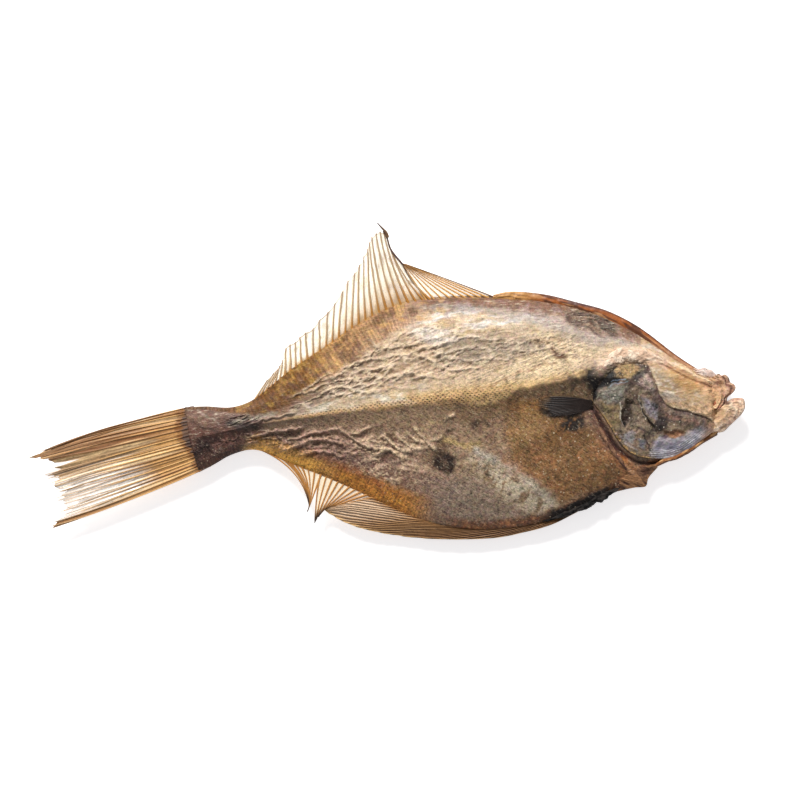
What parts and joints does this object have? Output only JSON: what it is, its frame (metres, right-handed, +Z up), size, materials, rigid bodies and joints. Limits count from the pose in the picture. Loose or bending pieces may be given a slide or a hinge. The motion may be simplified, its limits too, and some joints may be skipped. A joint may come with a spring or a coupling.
{
  "type": "dried flounder",
  "caption": "Whole dried flounder lying on its eyed side, with wrinkled skin, a raised dorsal fin, an open gill cover and a drooping ragged tail.",
  "frame": {"origin": "on the floor, under the middle of the outline seen from above", "axes": "+X from the tail to the mouth, +Y from the belly to the back, +Z up out of the blind side; the tail droops towards -Y"},
  "size_m": [0.2984, 0.132, 0.018],
  "materials": {
    "dried_skin": "dry, wrinkled and slightly oily, cream along the back, brown along the belly"
  },
  "bodies": {
    "root": {"flounder": "dried_skin"}
  },
  "joints": []
}
